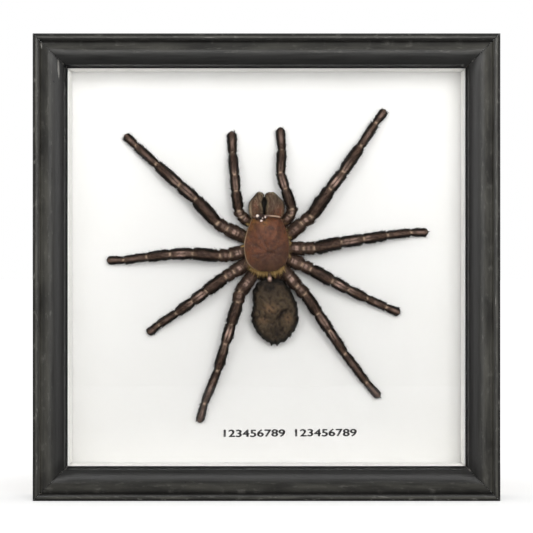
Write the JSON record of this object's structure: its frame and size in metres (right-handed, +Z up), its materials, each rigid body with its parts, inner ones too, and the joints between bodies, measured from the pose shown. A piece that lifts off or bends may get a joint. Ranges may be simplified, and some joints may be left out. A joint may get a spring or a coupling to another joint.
{
  "type": "framed tarantula specimen",
  "caption": "Black square shadow-box frame with glass and a white card that holds a dried spread tarantula seen from above.",
  "frame": {"origin": "middle of the bottom edge, half way between the front of the frame and the back of the hanger's nails", "axes": "+Z up, +X to the right as seen from the front, the glass faces -Y"},
  "size_m": [0.165, 0.0326, 0.165],
  "materials": {
    "black_paint": "satin black paint over fine-grained wood, rubbed at the edges",
    "glass": "clear picture glass",
    "white_spacer": "matte white foam board",
    "white_card": "matte white mounting board, faintly fibrous",
    "hardboard": "smooth brown hardboard",
    "steel": "zinc-plated, slightly dull",
    "carapace": "dry reddish-brown shell with short hair",
    "abdomen": "wrinkled dark olive-brown hide with short hair",
    "limb": "dark brown shell with dense short hair, paler at the joints"
  },
  "bodies": {
    "root": {"frame_rail_bottom": "black_paint", "frame_rail_left": "black_paint", "frame_rail_top": "black_paint", "frame_rail_right": "black_paint", "glass_pane": "glass", "spacer_bottom": "white_spacer", "spacer_top": "white_spacer", "spacer_left": "white_spacer", "spacer_right": "white_spacer", "mounting_card": "white_card", "back_panel": "hardboard", "framer_point_bottom_1": "steel", "framer_point_bottom_2": "steel", "framer_point_left_1": "steel", "framer_point_left_2": "steel", "framer_point_top_1": "steel", "framer_point_top_2": "steel", "framer_point_right_1": "steel", "framer_point_right_2": "steel", "sawtooth_hanger": "steel", "hanger_nail_left": "steel", "hanger_nail_right": "steel", "prosoma": "carapace", "abdomen": "abdomen", "chelicera_left": "limb", "chelicera_right": "limb", "pedipalp_left": "limb", "pedipalp_right": "limb", "leg_left_1": "limb", "leg_left_2": "limb", "leg_left_3": "limb", "leg_left_4": "limb", "leg_right_1": "limb", "leg_right_2": "limb", "leg_right_3": "limb", "leg_right_4": "limb"}
  },
  "joints": []
}
